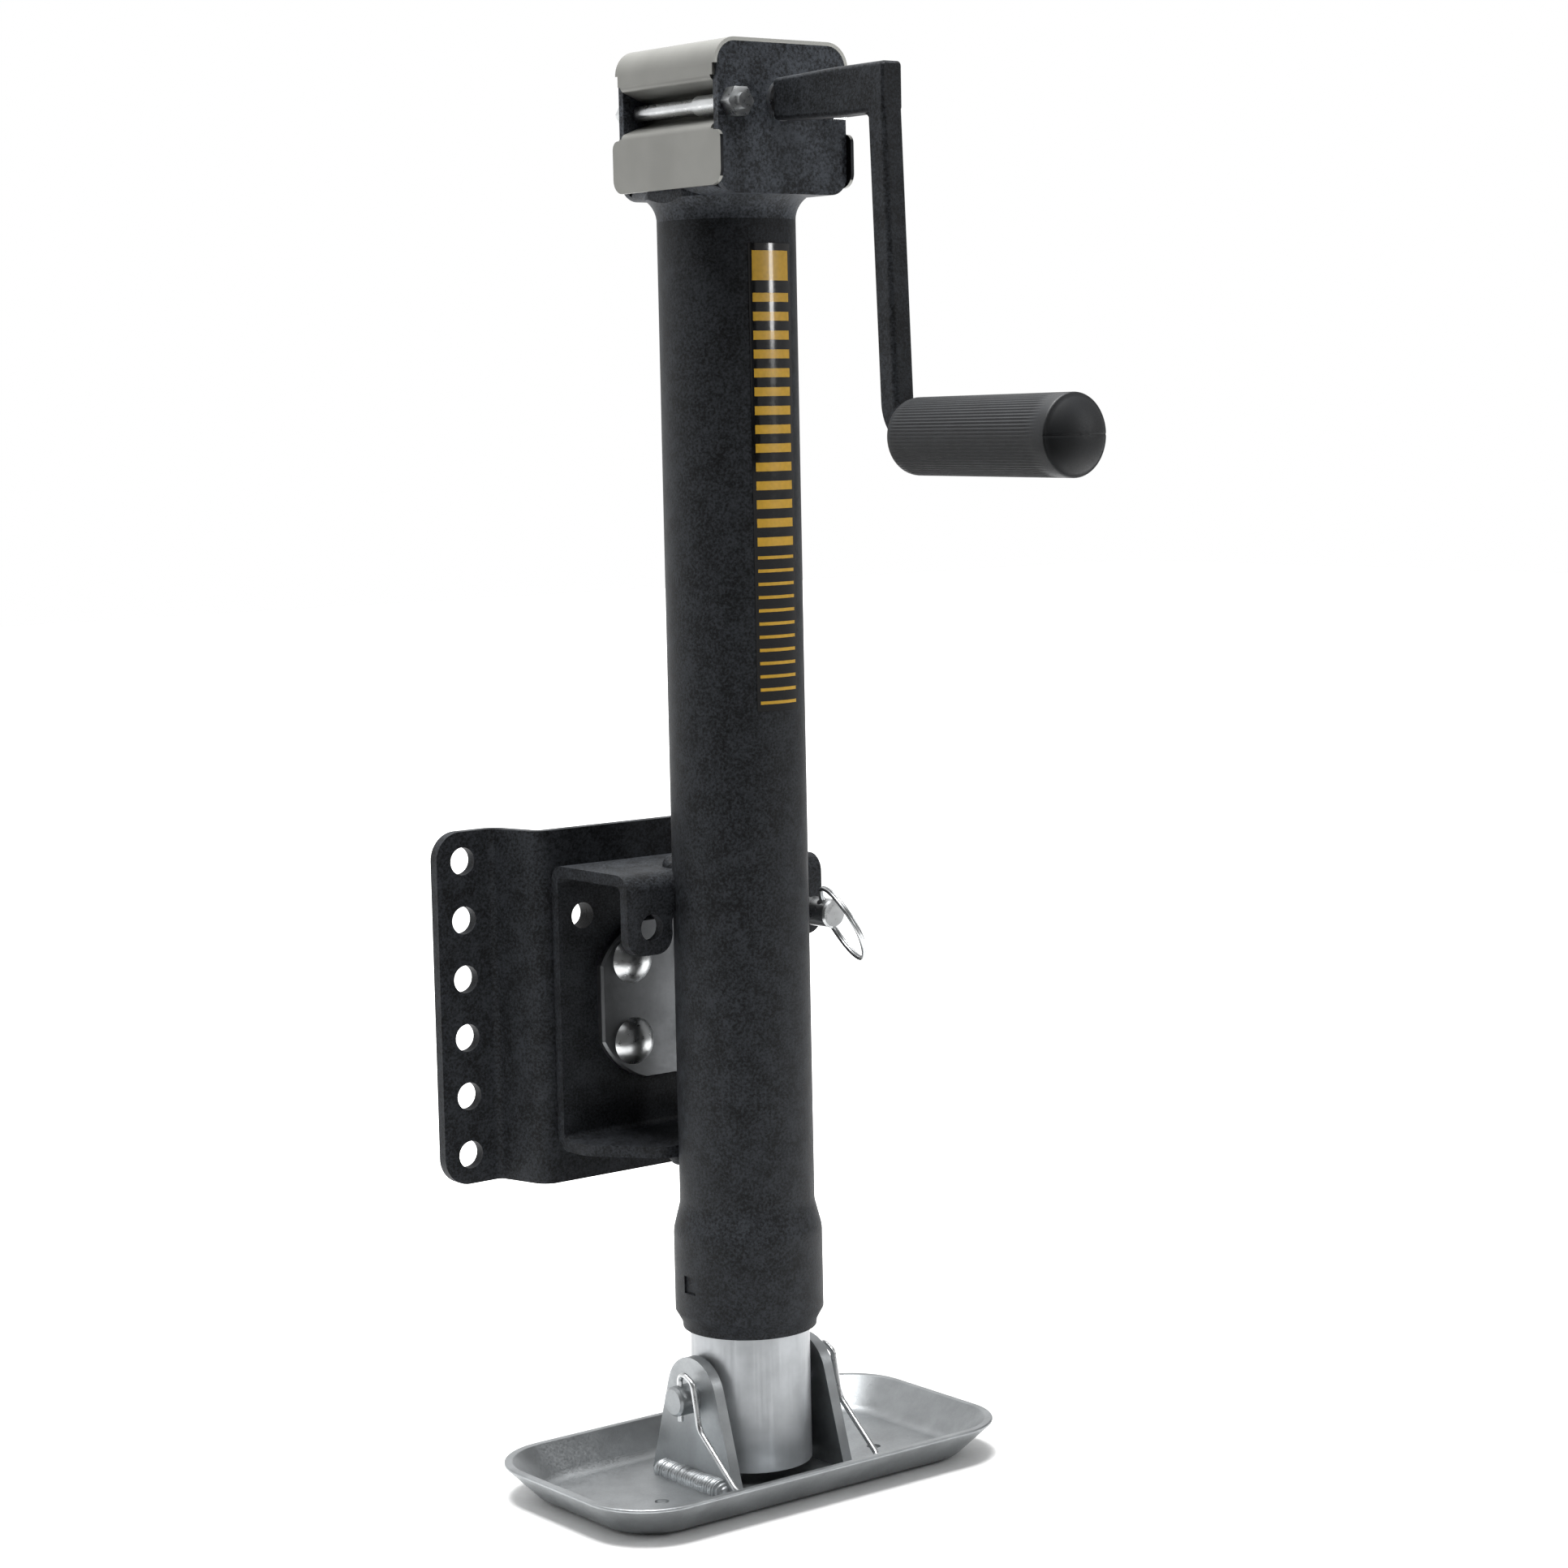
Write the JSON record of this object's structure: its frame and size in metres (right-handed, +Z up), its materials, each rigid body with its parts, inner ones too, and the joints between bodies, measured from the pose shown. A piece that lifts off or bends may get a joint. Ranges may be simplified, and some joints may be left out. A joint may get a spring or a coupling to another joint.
{
  "type": "trailer tongue jack",
  "caption": "Side-wind screw jack with a swivelling bolt-on bracket, a side crank with a turning grip, a sliding inner leg and a pinned tray foot.",
  "frame": {"origin": "on the axis of the tubes, at the underside of the foot plate", "axes": "+Z up along the tubes, +Y towards the mounting bracket, the crank points along -Y, the foot plate is long in X"},
  "size_m": [0.207, 0.3087, 0.599],
  "materials": {
    "black_powder_coat": "fine textured powder coat",
    "grey_cover": "satin",
    "label_film": "gloss",
    "black_rubber": "matt, fine ribs",
    "zinc_tube": "zinc plated, brushed",
    "zinc_plate": "zinc plated, satin",
    "bright_zinc": "bright zinc",
    "dark_steel": "oiled",
    "bearing_steel": "ground",
    "gear_iron": "greased",
    "bush_plastic": "satin",
    "sintered_bronze": "satin"
  },
  "bodies": {
    "bracket": {"mounting_bracket": "black_powder_coat", "swivel_spacer": "dark_steel", "swivel_disc": "bright_zinc", "swivel_rivets": "bright_zinc"},
    "jack_body": {"outer_tube": "black_powder_coat", "wear_bush": "bush_plastic", "gear_housing": "black_powder_coat", "head_cover": "grey_cover", "cover_bolts": "bright_zinc", "cover_nuts": "bright_zinc", "bolt_sleeves": "bright_zinc", "front_shaft_bush": "sintered_bronze", "rear_shaft_bush": "sintered_bronze", "bearing_plate": "dark_steel", "upper_race": "bearing_steel", "bearing_balls": "bearing_steel", "swivel_bracket": "black_powder_coat", "tube_welds": "black_powder_coat", "label_strip": "label_film"},
    "crank": {"crank_shaft": "dark_steel", "shaft_clip": "dark_steel", "drive_pinion": "gear_iron", "pinion_roll_pin": "dark_steel", "crank_handle": "black_powder_coat"},
    "grip": {"handle_grip": "black_rubber"},
    "screw": {"lead_screw": "dark_steel", "lower_race": "bearing_steel", "screw_gear": "gear_iron", "gear_roll_pin": "dark_steel"},
    "leg": {"inner_leg": "zinc_tube", "leg_nut": "dark_steel"},
    "foot": {"foot_plate": "zinc_plate", "foot_ears": "zinc_plate", "ear_welds": "zinc_plate"},
    "cross_pin": {"foot_pin": "bright_zinc", "pin_clip": "bright_zinc"},
    "plunger": {"lock_pin": "bright_zinc", "lock_washer": "bright_zinc", "lock_cross_pin": "bright_zinc", "lock_spring": "bright_zinc"},
    "ring": {"pull_ring": "bright_zinc"}
  },
  "joints": [
    {"name": "swivel", "type": "hinge", "parent": "bracket", "child": "jack_body", "pos_m": [0, 0.063, 0.2], "axis": [0, 1, 0], "range_deg": [-90, 90]},
    {"name": "crank_turn", "type": "hinge", "parent": "jack_body", "child": "crank", "pos_m": [0, 0, 0.575], "axis": [0, 1, 0], "range_deg": [0, 42428]},
    {"name": "grip_spin", "type": "hinge", "parent": "crank", "child": "grip", "pos_m": [0, -0.16, 0.4405], "axis": [0, 1, 0], "continuous": true},
    {"name": "screw_turn", "type": "hinge", "parent": "jack_body", "child": "screw", "pos_m": [0, 0, 0.3], "axis": [0, 0, 1], "range_deg": [-27000, 0]},
    {"name": "leg_slide", "type": "slide", "parent": "jack_body", "child": "leg", "axis": [0, 0, -1], "range_m": [0, 0.381]},
    {"name": "foot_tilt", "type": "hinge", "parent": "leg", "child": "foot", "pos_m": [0, 0, 0.0395], "axis": [1, 0, 0], "range_deg": [-12, 12]},
    {"name": "foot_pin_turn", "type": "hinge", "parent": "foot", "child": "cross_pin", "pos_m": [0, 0, 0.0395], "axis": [-1, 0, 0], "range_deg": [0, 80]},
    {"name": "lock_pin_slide", "type": "slide", "parent": "jack_body", "child": "plunger", "axis": [0, 1, 0], "range_m": [0, 0.0075]},
    {"name": "pull_ring_swing", "type": "hinge", "parent": "plunger", "child": "ring", "pos_m": [0.039, -0.009, 0.239], "axis": [0.4911, 0, -0.8711], "range_deg": [-100, 2]}
  ],
  "couplings": [
    {"joint": "screw_turn", "follows": "crank_turn", "ratio": -0.63636},
    {"joint": "leg_slide", "follows": "crank_turn", "m_per_rad": 0.00051451}
  ]
}
